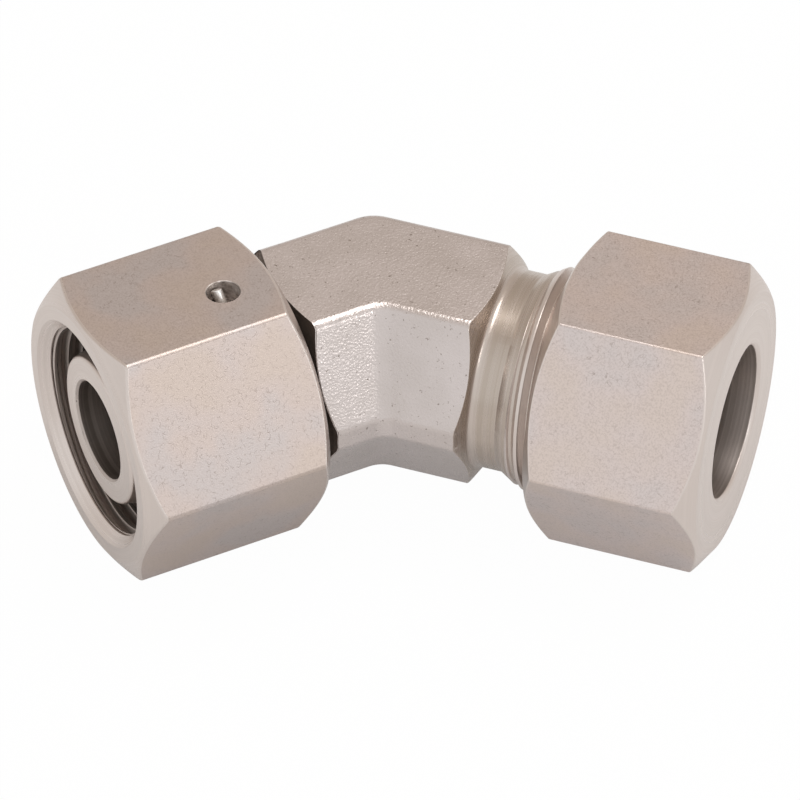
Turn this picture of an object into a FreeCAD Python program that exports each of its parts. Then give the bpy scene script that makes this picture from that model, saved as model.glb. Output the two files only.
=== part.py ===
"""Adjustable 45 degree elbow for a 20 mm metric tube, in stainless steel.

The plane through both legs is level. The tube leg points along +X and its spigot takes a
union nut with a cutting ring. The other leg carries a captive swivel nut over a 24 degree
cone nose. The origin is where the end of a tube stops in its socket, on the axis of the leg.

Lengths along a leg are measured from the crossing of the two axes. Every leg is drawn along
its own X axis, and placements turn and move the finished pieces.
"""
import FreeCAD, Part

import math
import os

import Sketcher

DOCUMENT = FreeCAD.newDocument("elbow_fitting")

# Driving sizes in millimetres and degrees, with what each of them is.
SIZES = (
    ("bend_angle", 45, "angle that the flow turns through"),
    ("tube_diameter", 20, "outside of the tube"),
    ("tube_gap", 0.05, "radial gap round the tube in its socket"),
    ("cone_half_angle", 12, "half of the 24 degree cones"),
    ("chamfer_angle", 30, "turned chamfers on the hexagons, from the face"),
    ("running_gap", 0.05, "radial gap between pieces that turn on each other"),
    ("body_flats", 28.5, "forged hexagon across its flats"),
    ("forging_radius", 1.4, "rounding of the forged edges"),
    ("parting_radius", 2.8, "rounding of the two edges where the dies part"),
    ("tube_corner_end", 15.7, "hexagon corners end, tube leg"),
    ("swivel_corner_end", 13.1, "hexagon corners end, swivel leg"),
    ("neck_diameter", 26.4, "turned neck, tube leg"),
    ("neck_root_radius", 1, "rounding between hexagon and neck"),
    ("neck_end", 20.7, "neck ends, tube leg"),
    ("thread_diameter", 30, "major diameter of both threads"),
    ("thread_play", 0.1, "outside thread is turned this much under size, on radius"),
    ("thread_height", 1.1, "height of a thread"),
    ("spigot_end", 37, "end face of the spigot"),
    ("spigot_chamfer", 1.2, "axial length of the spigot's end chamfer"),
    ("tube_stop", 26.5, "the tube's end stops here"),
    ("mouth_diameter", 22.9, "24 degree cone at the spigot's face"),
    ("tube_flow_bore", 16, "flow bore, tube leg"),
    ("drill_overrun", 5, "drill points run past the crossing by this"),
    ("drill_half_angle", 59, "half of the drill point's angle"),
    ("relief_diameter", 26.8, "turned relief between hexagon and collar"),
    ("collar_start", 16.6, "collar in the swivel nut starts"),
    ("collar_end", 26, "collar in the swivel nut ends"),
    ("nose_face", 40, "end face of the nose"),
    ("nose_diameter", 20, "nose at its end face"),
    ("nose_edge_radius", 0.6, "rounding of the nose's outer edge"),
    ("cone_length", 10.4, "length of the cone on the nose"),
    ("nose_flow_bore", 13.4, "flow bore, swivel leg"),
    ("bore_edge", 0.3, "chamfer at the mouth of the nose bore"),
    ("seal_section", 2.4, "thickness of the sealing ring"),
    ("seal_place", 4.4, "sealing ring's middle, back from the nose face"),
    ("seal_proud", 0.4, "sealing ring stands out of the cone by this"),
    ("seat_gap", 0.02, "gap between a seated ring and its groove"),
    ("nut_flats", 36, "both nuts across their flats"),
    ("nut_face", 34.8, "chamfer circle on the faces of both nuts"),
    ("nut_front_angle", 34, "turned chamfer on the union nut's front, from the face"),
    ("nut_turn", 4.3, "both nuts stand turned by this, tops away from the inside of the bend"),
    ("swivel_rear", 15, "rear face of the swivel nut"),
    ("swivel_front", 41.6, "front face of the swivel nut"),
    ("countersink_diameter", 31, "countersinks at the nuts' threads"),
    ("wire_place", 22.3, "retaining wire's place along the leg"),
    ("wire_diameter", 1.5, "thickness of the retaining wire"),
    ("wire_gap", 0.08, "gap round the wire in its channel"),
    ("wire_sweep", 328, "angle that the wire goes round"),
    ("wire_bend", 1.5, "radius of the wire's bend"),
    ("tail_length", 2.2, "straight tail of the wire"),
    ("tail_rise", 50, "angle that the tail rises from the ring"),
    ("tail_shift", 1.1, "the bend starts this far beside the middle of the feed hole"),
    ("feed_hole", 4.5, "hole that the wire is fed through"),
    ("feed_offset", 2.4, "the hole's place beside the middle of the flat"),
    ("union_rear", 25.9, "rear face of the union nut"),
    ("union_front", 49.4, "front face of the union nut"),
    ("union_thread_end", 38.8, "end of the union nut's thread hole"),
    ("seat_room", 0.7, "radial room round the cutting ring in the union nut"),
    ("union_bore", 20.4, "tube bore of the union nut"),
    ("bore_mouth", 0.4, "chamfer at the mouth of the union nut's tube bore"),
    ("ring_bore", 20.2, "bore of the cutting ring"),
    ("ring_reach", 3.2, "the cutting ring reaches this far into the spigot"),
    ("ring_slope", 1, "axial length from the spigot's face to the ring's collar"),
    ("ring_land", 2, "axial length of the ring's collar"),
    ("ring_diameter", 25.6, "collar of the cutting ring"),
    ("ring_tail", 21.6, "rear edge of the cutting ring"),
    ("ring_gap", 0.04, "gap between cutting ring and cones"),
)


def make_sheet():
    """Puts the driving sizes in a spreadsheet, each with an alias."""
    sheet = DOCUMENT.addObject("Spreadsheet::Sheet", "sizes")
    for row, (name, value, note) in enumerate(SIZES, start=1):
        sheet.set(f"A{row}", name)
        sheet.set(f"B{row}", str(value))
        sheet.setAlias(f"B{row}", name)
        sheet.set(f"C{row}", note)
    DOCUMENT.recompute()
    return sheet


SHEET = make_sheet()


def bound(expression):
    """Writes an expression with every size read from the sheet."""
    words = expression.replace("(", "( ").replace(")", " )").split()
    names = {name for name, _, _ in SIZES}
    return " ".join(f"sizes.{word}" if word in names else word for word in words)


def value_of(expression):
    """Works out an expression as a plain number."""
    result = SHEET.evalExpression(bound(expression))
    return float(getattr(result, "Value", result))


# Sizes that follow from others, as expressions.
TAN_CONE = "tan( cone_half_angle * 1deg )"
TAN_CHAMFER = "tan( chamfer_angle * 1deg )"
TAN_FRONT = "tan( nut_front_angle * 1deg )"
TAN_DRILL = "tan( drill_half_angle * 1deg )"
TUBE_SOCKET = "( tube_diameter / 2 + tube_gap )"
SPIGOT = "( thread_diameter / 2 - thread_play )"
SPIGOT_ROOT = f"( {SPIGOT} - thread_height )"
NUT_THREAD = f"( {SPIGOT} + running_gap )"
COLLAR = f"( {NUT_THREAD} - running_gap )"
BODY_CORNER = "( body_flats / 2 / cos( 30deg ) )"
NUT_CORNER = "( nut_flats / 2 / cos( 30deg ) )"
CONE_LARGE = f"( nose_diameter / 2 + cone_length * {TAN_CONE} )"
SEAL_MIDDLE = f"( nose_diameter / 2 + seal_place * {TAN_CONE} + seal_proud - seal_section / 2 )"
SEAL_FLOOR = f"( {SEAL_MIDDLE} - seal_section / 2 - seat_gap )"
WIRE_RADIUS = f"( {COLLAR} + running_gap / 2 )"
WIRE_CHANNEL = "( wire_diameter / 2 + wire_gap )"
CONE_START = f"( spigot_end - ( mouth_diameter / 2 - {TUBE_SOCKET} ) / {TAN_CONE} )"
RING_FACE = "( mouth_diameter / 2 - ring_gap )"
RING_FRONT = f"( {RING_FACE} - ring_reach * {TAN_CONE} )"
SWIVEL_TURN = "180 + bend_angle"
RING_SHOULDER = "( spigot_end + ring_slope )"
RING_BACK = f"( {RING_SHOULDER} + ring_land )"
UNION_SEAT = "( ring_diameter / 2 + seat_room )"
# The nut's 45 degree seat meets the ring's 45 degree back, with the ring's gap square to it.
SEAT_START = f"( {RING_BACK} + ring_diameter / 2 - {UNION_SEAT} + ring_gap / cos( 45deg ) )"
# The ring of wire is turned about the leg until its bent end stands under the feed hole.
WIRE_START = f"( asin( ( feed_offset + tail_shift ) / {WIRE_RADIUS} ) / 1deg )"


def new_body(label):
    """Starts the PartDesign body of one piece."""
    body = DOCUMENT.addObject("PartDesign::Body", label)
    body.Label = label
    return body


def new_sketch(body, name, plane="XY_Plane", lift="0", turn="0"):
    """Attaches a sketch to a plane of the body's own origin.

    lift moves it along the plane's normal, and turn turns it about that normal in degrees.
    """
    sketch = body.newObject("Sketcher::SketchObject", name)
    role = [item for item in body.Origin.OriginFeatures if item.Role == plane]
    sketch.AttachmentSupport = (role[0], "")
    sketch.MapMode = "FlatFace"
    sketch.setExpression("AttachmentOffset.Base.z", bound(f"( {lift} )"))
    sketch.setExpression("AttachmentOffset.Rotation.Angle", bound(f"( {turn} ) * 1deg"))
    return sketch


def fix_point(sketch, line, end, across, up):
    """Fixes one end of a line by two expressions, measured from the sketch's origin."""
    for kind, axis, expression in (("DistanceX", -2, across), ("DistanceY", -1, up)):
        if expression == "0":
            sketch.addConstraint(Sketcher.Constraint("PointOnObject", line, end, axis))
            continue
        size = value_of(expression)
        index = sketch.addConstraint(Sketcher.Constraint(kind, line, end, size))
        sketch.setExpression(f"Constraints[{index}]", bound(f"( {expression} )"))


def draw_outline(sketch, corners, closed=True):
    """Draws straight lines through corners, each a pair of expressions."""
    points = [FreeCAD.Vector(value_of(x), value_of(y), 0) for x, y in corners]
    count = len(points) if closed else len(points) - 1
    lines = []
    for index in range(count):
        segment = Part.LineSegment(points[index], points[(index + 1) % len(points)])
        lines.append(sketch.addGeometry(segment))
    for index in range(1, count):
        sketch.addConstraint(Sketcher.Constraint("Coincident", lines[index - 1], 2, lines[index], 1))
    if closed:
        sketch.addConstraint(Sketcher.Constraint("Coincident", lines[-1], 2, lines[0], 1))
    for line, (across, up) in zip(lines, corners):
        fix_point(sketch, line, 1, across, up)
    if not closed:
        fix_point(sketch, lines[-1], 2, *corners[-1])
    return lines


def fix_length(sketch, kind, item, expression):
    """Fixes the radius of an arc or the length of a line by an expression."""
    index = sketch.addConstraint(Sketcher.Constraint(kind, item, value_of(expression)))
    sketch.setExpression(f"Constraints[{index}]", bound(expression))


def draw_circle(sketch, across, up, radius):
    """Draws one circle from three expressions."""
    centre = FreeCAD.Vector(value_of(across), value_of(up), 0)
    circle = sketch.addGeometry(Part.Circle(centre, FreeCAD.Vector(0, 0, 1), value_of(radius)))
    fix_point(sketch, circle, 3, across, up)
    fix_length(sketch, "Radius", circle, radius)


def draw_hexagon(sketch, flats, roundings=None):
    """Draws a hexagon with flats above and below.

    roundings gives the radius of the two corners at the sides and that of the other four.
    """
    corner = f"{flats} / 2 / cos( 30deg )"
    if roundings is None:
        corners = [(f"{corner} * cos( {60 * side}deg )", f"{corner} * sin( {60 * side}deg )")
                   for side in range(6)]
        draw_outline(sketch, [(x, "0" if side % 3 == 0 else y)
                              for side, (x, y) in enumerate(corners)])
        return
    radii = [roundings[0] if side % 3 == 0 else roundings[1] for side in range(6)]
    reaches = [f"( {corner} - {radius} / cos( 30deg ) )" for radius in radii]
    arcs = []
    for side in range(6):
        middle = math.radians(60 * side)
        radius = value_of(radii[side])
        distance = value_of(reaches[side])
        centre = FreeCAD.Vector(distance * math.cos(middle), distance * math.sin(middle), 0)
        circle = Part.Circle(centre, FreeCAD.Vector(0, 0, 1), radius)
        half = math.radians(30)
        arcs.append(sketch.addGeometry(Part.ArcOfCircle(circle, middle - half, middle + half)))
    sides = []
    for side in range(6):
        start = sketch.getPoint(arcs[side], 2)
        finish = sketch.getPoint(arcs[(side + 1) % 6], 1)
        sides.append(sketch.addGeometry(Part.LineSegment(start, finish)))
    for side in range(6):
        sketch.addConstraint(Sketcher.Constraint("Tangent", arcs[side], 2, sides[side], 1))
        sketch.addConstraint(Sketcher.Constraint("Tangent", sides[side], 2, arcs[(side + 1) % 6], 1))
        across = f"{reaches[side]} * cos( {60 * side}deg )"
        up = "0" if side % 3 == 0 else f"{reaches[side]} * sin( {60 * side}deg )"
        fix_point(sketch, arcs[side], 3, across, up)
        fix_length(sketch, "Radius", arcs[side], radii[side])


def turned(body, name, corners, turn="0", cut=False):
    """Adds or cuts a round form: an outline in the level plane, spun about the leg's axis.

    Corners are (distance along the leg, radius).
    """
    sketch = new_sketch(body, f"{name}_outline", turn=turn)
    draw_outline(sketch, corners)
    kind = "PartDesign::Groove" if cut else "PartDesign::Revolution"
    feature = body.newObject(kind, name)
    feature.Profile = sketch
    feature.ReferenceAxis = (sketch, ["H_Axis"])
    feature.Angle = 360
    return feature


def round_groove(body, name, place, middle, radius, turn="0"):
    """Cuts a channel of round section round the leg's axis."""
    sketch = new_sketch(body, f"{name}_outline", turn=turn)
    draw_circle(sketch, place, middle, radius)
    feature = body.newObject("PartDesign::Groove", name)
    feature.Profile = sketch
    feature.ReferenceAxis = (sketch, ["H_Axis"])
    feature.Angle = 360
    return feature


def corner_chamfer(body, name, corner_end, corner, outward, turn="0", slope=TAN_CHAMFER):
    """Turns the corners of a hexagon off to a cone, outward being 1 or -1 along the leg."""
    spare = 2
    depth = 6
    sign = "+" if outward > 0 else "-"
    back = "-" if outward > 0 else "+"
    clear = f"{corner_end} {sign} {depth + spare} * {slope}"
    corners = [
        (f"{corner_end} {back} {spare} * {slope}", f"{corner} + {spare}"),
        (f"{corner_end} {sign} {depth} * {slope}", f"{corner} - {depth}"),
        (clear, f"{corner} - {depth}"),
        (clear, f"{corner} + {spare}"),
    ]
    return turned(body, name, corners, turn=turn, cut=True)


def round_edge(body, name, turn, along, size, radius):
    """Rounds the full circle of one size that lies at one distance along a leg."""
    DOCUMENT.recompute()
    base = body.Tip
    angle = math.radians(value_of(turn))
    axis = FreeCAD.Vector(math.cos(angle), math.sin(angle), 0)
    near = 1e-4
    edges = []
    for number, edge in enumerate(base.Shape.Edges, start=1):
        curve = edge.Curve
        if not isinstance(curve, Part.Circle) or curve.Axis.cross(axis).Length > near:
            continue
        if abs(curve.Radius - value_of(size)) > near:
            continue
        if (curve.Center - axis * value_of(along)).Length < near:
            edges.append(f"Edge{number}")
    fillet = body.newObject("PartDesign::Fillet", name)
    fillet.Base = (base, edges)
    fillet.setExpression("Radius", bound(radius))
    return fillet


def make_elbow_body():
    """The forging with its turned ends, bores and grooves."""
    body = new_body("elbow_body")
    relief_end = f"( swivel_corner_end + ( {BODY_CORNER} - relief_diameter / 2 ) * {TAN_CHAMFER} )"
    neck_start = f"( tube_corner_end + ( {BODY_CORNER} - neck_diameter / 2 ) * {TAN_CHAMFER} )"

    path = new_sketch(body, "bend_path")
    draw_outline(path, [(neck_start, "0"), ("0", "0"),
                        (f"0 - {relief_end} * cos( bend_angle * 1deg )",
                         f"0 - {relief_end} * sin( bend_angle * 1deg )")], closed=False)
    section = new_sketch(body, "hexagon_section", plane="YZ_Plane", lift=neck_start)
    draw_hexagon(section, "body_flats", ("parting_radius", "forging_radius"))
    forging = body.newObject("PartDesign::AdditivePipe", "forged_bend")
    forging.Profile = section
    forging.Spine = path
    forging.Transition = "Right corner"
    DOCUMENT.recompute()

    corner_chamfer(body, "tube_end_chamfer", "tube_corner_end", BODY_CORNER, 1)
    corner_chamfer(body, "swivel_end_chamfer", "swivel_corner_end", BODY_CORNER, 1, SWIVEL_TURN)
    turned(body, "spigot", [
        ("0", "0"), ("spigot_end", "0"),
        ("spigot_end", SPIGOT_ROOT), ("spigot_end - spigot_chamfer", SPIGOT),
        (f"neck_end + ( {SPIGOT} - neck_diameter / 2 ) / {TAN_CHAMFER}", SPIGOT),
        ("neck_end", "neck_diameter / 2"), ("0", "neck_diameter / 2")])
    turned(body, "nose", [
        ("0", "0"), ("nose_face", "0"),
        ("nose_face", "nose_diameter / 2"), ("nose_face - cone_length", CONE_LARGE),
        ("collar_end", CONE_LARGE), ("collar_end", COLLAR),
        ("collar_start", COLLAR), ("collar_start", "relief_diameter / 2"),
        ("0", "relief_diameter / 2")], SWIVEL_TURN)
    turned(body, "tube_bore", [
        ("0 - drill_overrun", "0"),
        (f"tube_flow_bore / 2 / {TAN_DRILL} - drill_overrun", "tube_flow_bore / 2"),
        ("tube_stop", "tube_flow_bore / 2"), ("tube_stop", TUBE_SOCKET),
        (CONE_START, TUBE_SOCKET), ("spigot_end", "mouth_diameter / 2"),
        ("spigot_end + 1", "mouth_diameter / 2"), ("spigot_end + 1", "0")], cut=True)
    turned(body, "nose_bore", [
        ("0 - drill_overrun", "0"),
        (f"nose_flow_bore / 2 / {TAN_DRILL} - drill_overrun", "nose_flow_bore / 2"),
        ("nose_face - bore_edge", "nose_flow_bore / 2"),
        ("nose_face", "nose_flow_bore / 2 + bore_edge"),
        ("nose_face + 1", "nose_flow_bore / 2 + bore_edge"),
        ("nose_face + 1", "0")], SWIVEL_TURN, cut=True)
    turned(body, "seal_groove", [
        ("nose_face - seal_place - seal_section / 2 - seat_gap", SEAL_FLOOR),
        ("nose_face - seal_place + seal_section / 2 + seat_gap", SEAL_FLOOR),
        ("nose_face - seal_place + seal_section / 2 + seat_gap", COLLAR),
        ("nose_face - seal_place - seal_section / 2 - seat_gap", COLLAR)], SWIVEL_TURN, cut=True)
    round_groove(body, "wire_groove", "wire_place", WIRE_RADIUS, WIRE_CHANNEL, SWIVEL_TURN)
    round_edge(body, "nose_edge", SWIVEL_TURN, "nose_face", "nose_diameter / 2", "nose_edge_radius")
    round_edge(body, "neck_root", "0", neck_start, "neck_diameter / 2", "neck_root_radius")
    return body


def make_nut(label, rear, front, front_slope=TAN_CHAMFER):
    """A hexagonal bar with both ends chamfered."""
    body = new_body(label)
    section = new_sketch(body, f"{label}_section", plane="YZ_Plane", lift=rear)
    draw_hexagon(section, "nut_flats")
    bar = body.newObject("PartDesign::Pad", f"{label}_bar")
    bar.Profile = section
    bar.setExpression("Length", bound(f"( {front} - {rear} )"))
    setback = f"( {NUT_CORNER} - nut_face / 2 )"
    corner_chamfer(body, f"{label}_front_chamfer", f"{front} - {setback} * {front_slope}",
                   NUT_CORNER, 1, slope=front_slope)
    corner_chamfer(body, f"{label}_rear_chamfer", f"{rear} + {setback} * {TAN_CHAMFER}",
                   NUT_CORNER, -1)
    return body


def make_swivel_nut():
    """The captive nut: collar bore, wire channel, feed hole and thread."""
    body = make_nut("swivel_nut", "swivel_rear", "swivel_front")
    bore = f"( {COLLAR} + running_gap )"
    sink = f"( countersink_diameter / 2 - {NUT_THREAD} )"
    turned(body, "swivel_bore", [
        ("swivel_rear - 1", "0"), ("swivel_rear - 1", f"{bore} + {sink}"),
        ("swivel_rear", f"{bore} + {sink}"), (f"swivel_rear + {sink}", bore),
        (f"swivel_front - {sink}", NUT_THREAD),
        ("swivel_front", "countersink_diameter / 2"),
        ("swivel_front + 1", "countersink_diameter / 2"), ("swivel_front + 1", "0")], cut=True)
    round_groove(body, "wire_channel", "wire_place", WIRE_RADIUS, WIRE_CHANNEL)
    hole = new_sketch(body, "feed_hole_place", lift="nut_flats / 2 + 1")
    draw_circle(hole, "wire_place", "feed_offset", "( feed_hole / 2 )")
    drill = body.newObject("PartDesign::Pocket", "feed_hole_drill")
    drill.Profile = hole
    drill.setExpression("Length", bound(f"( nut_flats / 2 + 1 - {WIRE_RADIUS} + 2 )"))
    return body


def make_union_nut():
    """The nut on the tube leg: thread, 45 degree seat for the ring and tube bore."""
    body = make_nut("union_nut", "union_rear", "union_front", TAN_FRONT)
    sink = f"( countersink_diameter / 2 - {NUT_THREAD} )"
    turned(body, "union_hole", [
        ("union_rear - 1", "0"), ("union_rear - 1", "countersink_diameter / 2"),
        ("union_rear", "countersink_diameter / 2"), (f"union_rear + {sink}", NUT_THREAD),
        ("union_thread_end", NUT_THREAD), ("union_thread_end", UNION_SEAT),
        (SEAT_START, UNION_SEAT),
        (f"{SEAT_START} + {UNION_SEAT} - union_bore / 2", "union_bore / 2"),
        ("union_front - bore_mouth", "union_bore / 2"),
        ("union_front", "union_bore / 2 + bore_mouth"),
        ("union_front + 1", "union_bore / 2 + bore_mouth"), ("union_front + 1", "0")], cut=True)
    return body


def make_cutting_ring():
    """The ring that bites the tube when the union nut is tightened."""
    body = new_body("cutting_ring")
    turned(body, "ring_form", [
        ("spigot_end - ring_reach", "ring_bore / 2"), ("spigot_end - ring_reach", RING_FRONT),
        ("spigot_end", RING_FACE), (RING_SHOULDER, "ring_diameter / 2"),
        (RING_BACK, "ring_diameter / 2"),
        (f"{RING_BACK} + ring_diameter / 2 - ring_tail / 2", "ring_tail / 2"),
        (f"{RING_BACK} + ring_diameter / 2 - ring_tail / 2", "ring_bore / 2")])
    return body


def make_seal():
    """The round sealing ring in the groove of the cone nose."""
    ring = DOCUMENT.addObject("Part::Torus", "o_ring")
    ring.Label = "o_ring"
    ring.setExpression("Radius1", bound(f"{SEAL_MIDDLE}"))
    ring.setExpression("Radius2", bound("seal_section / 2"))
    return ring


def make_wire():
    """The retaining wire: most of a ring, with its end bent up into the feed hole."""
    body = new_body("retaining_wire")
    radius = value_of(WIRE_RADIUS)
    sweep = math.radians(value_of("wire_sweep"))
    rise = math.radians(value_of("tail_rise"))
    bend = value_of("wire_bend")
    up = FreeCAD.Vector(0, 0, 1)
    outward = FreeCAD.Vector(math.cos(sweep), math.sin(sweep), 0)
    onward = FreeCAD.Vector(-math.sin(sweep - rise), math.cos(sweep - rise), 0)
    path = new_sketch(body, "wire_path")
    ring = path.addGeometry(Part.ArcOfCircle(Part.Circle(FreeCAD.Vector(), up, radius), 0, sweep))
    centre = outward * (radius + bend)
    turn = path.addGeometry(Part.ArcOfCircle(
        Part.Circle(centre, up, bend), sweep + math.pi - rise, sweep + math.pi))
    lift = path.getPoint(turn, 1)
    tail = path.addGeometry(Part.LineSegment(lift, lift + onward * value_of("tail_length")))
    path.addConstraint(Sketcher.Constraint("Coincident", ring, 3, -1, 1))
    path.addConstraint(Sketcher.Constraint("PointOnObject", ring, 1, -1))
    path.addConstraint(Sketcher.Constraint("Tangent", ring, 2, turn, 2))
    path.addConstraint(Sketcher.Constraint("Tangent", turn, 1, tail, 1))
    fix_point(path, turn, 3, f"( {WIRE_RADIUS} + wire_bend ) * cos( wire_sweep * 1deg )",
              f"( {WIRE_RADIUS} + wire_bend ) * sin( wire_sweep * 1deg )")
    fix_length(path, "Radius", ring, WIRE_RADIUS)
    fix_length(path, "Distance", tail, "tail_length")
    slope = path.addConstraint(Sketcher.Constraint("Angle", tail, sweep - rise + math.pi / 2))
    path.setExpression(f"Constraints[{slope}]",
                       bound("( wire_sweep - tail_rise + 90 - 360 ) * 1deg"))
    section = new_sketch(body, "wire_section", plane="XZ_Plane")
    draw_circle(section, WIRE_RADIUS, "0", "( wire_diameter / 2 )")
    wire = body.newObject("PartDesign::AdditivePipe", "bent_wire")
    wire.Profile = section
    wire.Spine = path
    return body


def place(piece, turn, lean="0", along="0", ring=False):
    """Puts a finished piece on its leg.

    turn points the leg in the level plane and lean turns the piece about the leg. A ring is
    drawn flat, so it is stood up first.
    """
    move = (f"vector( ( {along} ) * cos( ( {turn} ) * 1deg ) - tube_stop ; "
            f"( {along} ) * sin( ( {turn} ) * 1deg ) ; 0 )")
    spin = (f"rotation( vector( 0 ; 0 ; 1 ) ; {turn} ) * "
            f"rotation( vector( 1 ; 0 ; 0 ) ; {lean} )")
    if ring:
        spin += " * rotation( vector( 0 ; 1 ; 0 ) ; 90 )"
    piece.setExpression("Placement", bound(f"placement( {move} ; {spin} )"))


def check_document():
    """Stops if any object failed to build."""
    for item in DOCUMENT.Objects:
        if "Invalid" in item.State or "Error" in item.State:
            raise RuntimeError(f"{item.Name} failed: {item.State}")


def export(piece):
    """Writes one piece to its own file, after checking its solid."""
    shape = piece.Shape
    if shape.isNull() or not shape.isValid() or len(shape.Solids) != 1:
        raise RuntimeError(f"{piece.Label} isn't one valid solid")
    shape.exportStep(f"parts/{piece.Label}.step")
    print(f"{piece.Label}: volume {shape.Volume:.1f}, faces {len(shape.Faces)}")


def main():
    """Makes, places, checks and writes every piece."""
    pieces = [make_elbow_body(), make_swivel_nut(), make_union_nut(), make_cutting_ring(),
              make_seal(), make_wire()]
    elbow, swivel_nut, union_nut, cutting_ring, seal, wire = pieces
    place(elbow, "0")
    place(swivel_nut, SWIVEL_TURN, "nut_turn")
    place(union_nut, "0", "0 - nut_turn")
    place(cutting_ring, "0")
    place(seal, SWIVEL_TURN, along="nose_face - seal_place", ring=True)
    place(wire, SWIVEL_TURN, f"nut_turn - {WIRE_START} + 180 - wire_sweep", "wire_place", ring=True)
    DOCUMENT.recompute()
    check_document()
    os.makedirs("parts", exist_ok=True)
    for piece in pieces:
        export(piece)


main()
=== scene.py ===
"""Looks of an adjustable 45 degree tube elbow in stainless steel.

The body is a pickled forging with turned ends, a captive swivel nut on one leg and a union nut
with its cutting ring on the other. Each leg is drawn along its own X axis, in millimetres from
the crossing of the two axes, and its matrix puts it in the frame.
"""

import logging
import math
from dataclasses import dataclass, field
from enum import Enum, IntEnum
from typing import Callable

import bmesh
import bpy
from bmesh.types import BMEdge, BMesh, BMFace, BMVert
from bpy.types import Material, Node, NodeSocket, NodeTree, Object
from mathutils import Matrix, Vector


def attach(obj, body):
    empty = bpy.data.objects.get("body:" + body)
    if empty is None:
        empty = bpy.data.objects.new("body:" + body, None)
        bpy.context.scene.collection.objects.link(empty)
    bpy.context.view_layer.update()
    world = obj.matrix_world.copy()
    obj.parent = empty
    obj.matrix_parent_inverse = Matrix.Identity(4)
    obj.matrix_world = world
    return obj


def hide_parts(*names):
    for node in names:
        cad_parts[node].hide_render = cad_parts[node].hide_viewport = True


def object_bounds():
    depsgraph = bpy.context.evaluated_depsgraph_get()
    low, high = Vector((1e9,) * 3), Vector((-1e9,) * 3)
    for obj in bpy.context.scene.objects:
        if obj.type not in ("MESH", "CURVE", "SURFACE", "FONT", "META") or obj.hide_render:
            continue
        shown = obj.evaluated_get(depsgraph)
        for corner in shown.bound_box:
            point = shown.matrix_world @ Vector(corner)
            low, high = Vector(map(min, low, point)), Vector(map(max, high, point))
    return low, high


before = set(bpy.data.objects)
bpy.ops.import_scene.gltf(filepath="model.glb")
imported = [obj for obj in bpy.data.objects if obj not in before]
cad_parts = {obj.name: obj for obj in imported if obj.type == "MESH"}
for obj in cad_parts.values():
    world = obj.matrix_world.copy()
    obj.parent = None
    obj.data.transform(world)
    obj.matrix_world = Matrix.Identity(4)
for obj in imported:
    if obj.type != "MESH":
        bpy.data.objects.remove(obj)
CAD_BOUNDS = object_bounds()

LOG = logging.getLogger("elbow")
MM = 0.001
# A hexagon's half corner and the slope of most chamfers.
TAN_30 = math.tan(math.radians(30))
COS_30 = math.cos(math.radians(30))
# Degrees by which both nuts are turned about their legs.
NUT_TURN = 4.3
# Where a crest of the spigot's thread crosses the leg's own Y axis.
SPIGOT_PHASE = 23.03
# Levels that hold most of a fine noise, and those of a slow one.
NOISE_LOW = 0.3
NOISE_HIGH = 0.7
SWELL_LOW = 0.35
SWELL_HIGH = 0.65
# Sockets of a colour mix.
MIX_A = 6
MIX_B = 7
MIX_RESULT = 2

Outline = list[tuple[float, float]]


class Body(Enum):
    """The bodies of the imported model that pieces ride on."""

    ELBOW = "elbow"
    SWIVEL = "swivel"
    UNION = "union"


class Slot(Enum):
    """The record's material slots."""

    FORGED = "forged_steel"
    NUT = "nut_steel"
    TURNED = "turned_steel"
    WIRE = "spring_wire"
    SEAL = "seal_rubber"


class NutFace(IntEnum):
    """Material slots of a nut."""

    FLAT = 0
    TURNED = 1
    BORED = 2
    DRILLED = 3


class BodyFace(IntEnum):
    """Material slots of the elbow's body."""

    FORGED = 0
    NECK = 1
    NOSE = 2
    TUBE_BORE = 3
    NOSE_BORE = 4
    # Painted shade in the gap between body and swivel nut.
    RECESS = 5
    THREAD = 6


@dataclass(frozen=True)
class Leg:
    """The place of a piece that is drawn along X from the crossing of the axes.

    Args:
        turn: Degrees by which the leg is turned in the level plane.
        lean: Degrees by which the piece is turned about the leg.
        tube_stop: Distance from the crossing to the tube stop, which is the frame's origin.
    """

    turn: float = 0.0
    lean: float = 0.0
    tube_stop: float = 26.5

    def matrix(self) -> Matrix:
        """Returns the matrix from the leg's millimetres to the frame's metres."""
        return (Matrix.Translation((-self.tube_stop * MM, 0, 0))
                @ Matrix.Rotation(math.radians(self.turn), 4, "Z")
                @ Matrix.Rotation(math.radians(self.lean), 4, "X")
                @ Matrix.Scale(MM, 4))


TUBE_LEG = Leg()
SWIVEL_LEG = Leg(turn=225)


def linear(colour: str) -> tuple[float, float, float, float]:
    """Turns an sRGB hex colour to linear values.

    Args:
        colour: Six hex digits after a number sign.

    Returns:
        Red, green, blue and an alpha of 1.
    """
    shares = [int(colour[place:place + 2], 16) / 255 for place in (1, 3, 5)]
    red, green, blue = (share / 12.92 if share <= 0.04045 else ((share + 0.055) / 1.055) ** 2.4
                        for share in shares)
    return red, green, blue, 1.0


def add_node(tree: NodeTree, kind: str, inputs: dict | None = None, **settings: object) -> Node:
    """Adds one node with its settings and links.

    Args:
        tree: The tree that gets the node.
        kind: The node's type.
        inputs: Values or sockets for the node's inputs, by name or number.
        **settings: The node's own properties.

    Returns:
        The new node.
    """
    node = tree.nodes.new(kind)
    for name, value in settings.items():
        setattr(node, name, value)
    for key, value in (inputs or {}).items():
        if isinstance(value, NodeSocket):
            tree.links.new(value, node.inputs[key])
        else:
            node.inputs[key].default_value = value
    return node


def add_noise(tree: NodeTree, place: NodeSocket, width: float, detail: float = 2.0) -> NodeSocket:
    """Adds a noise whose waves are this many millimetres wide."""
    return add_node(tree, "ShaderNodeTexNoise", {
        "Vector": place, "Scale": 1 / (width * MM), "Detail": detail}).outputs["Fac"]


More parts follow.
